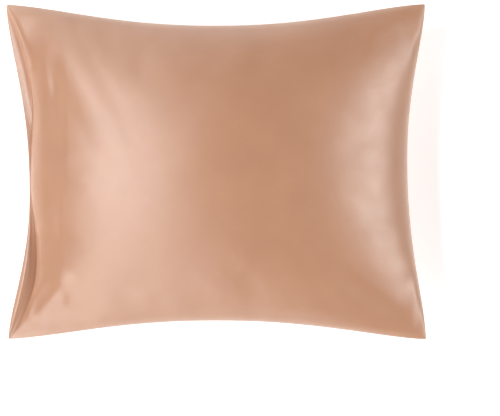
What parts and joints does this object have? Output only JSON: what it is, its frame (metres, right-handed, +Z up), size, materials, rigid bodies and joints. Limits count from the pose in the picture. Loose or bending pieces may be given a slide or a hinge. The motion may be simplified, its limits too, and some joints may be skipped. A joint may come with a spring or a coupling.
{
  "type": "filled pillowcase",
  "caption": "Plain satin pillowcase on its pillow, crowned, with drawn-in sides, pointed corners and an open hemmed mouth at one short end.",
  "frame": {"origin": "on the surface that the pillowcase rests on, under the middle of its plan", "axes": "+X along the long sides away from the mouth, +Y along the short sides, +Z up through the crown"},
  "size_m": [0.597, 0.475, 0.1712],
  "materials": {
    "front_satin": "copper-peach satin with a soft gloss",
    "back_satin": "copper-peach satin with a soft gloss"
  },
  "bodies": {
    "root": {"filled_front": "front_satin", "back_panel": "back_satin"}
  },
  "joints": []
}
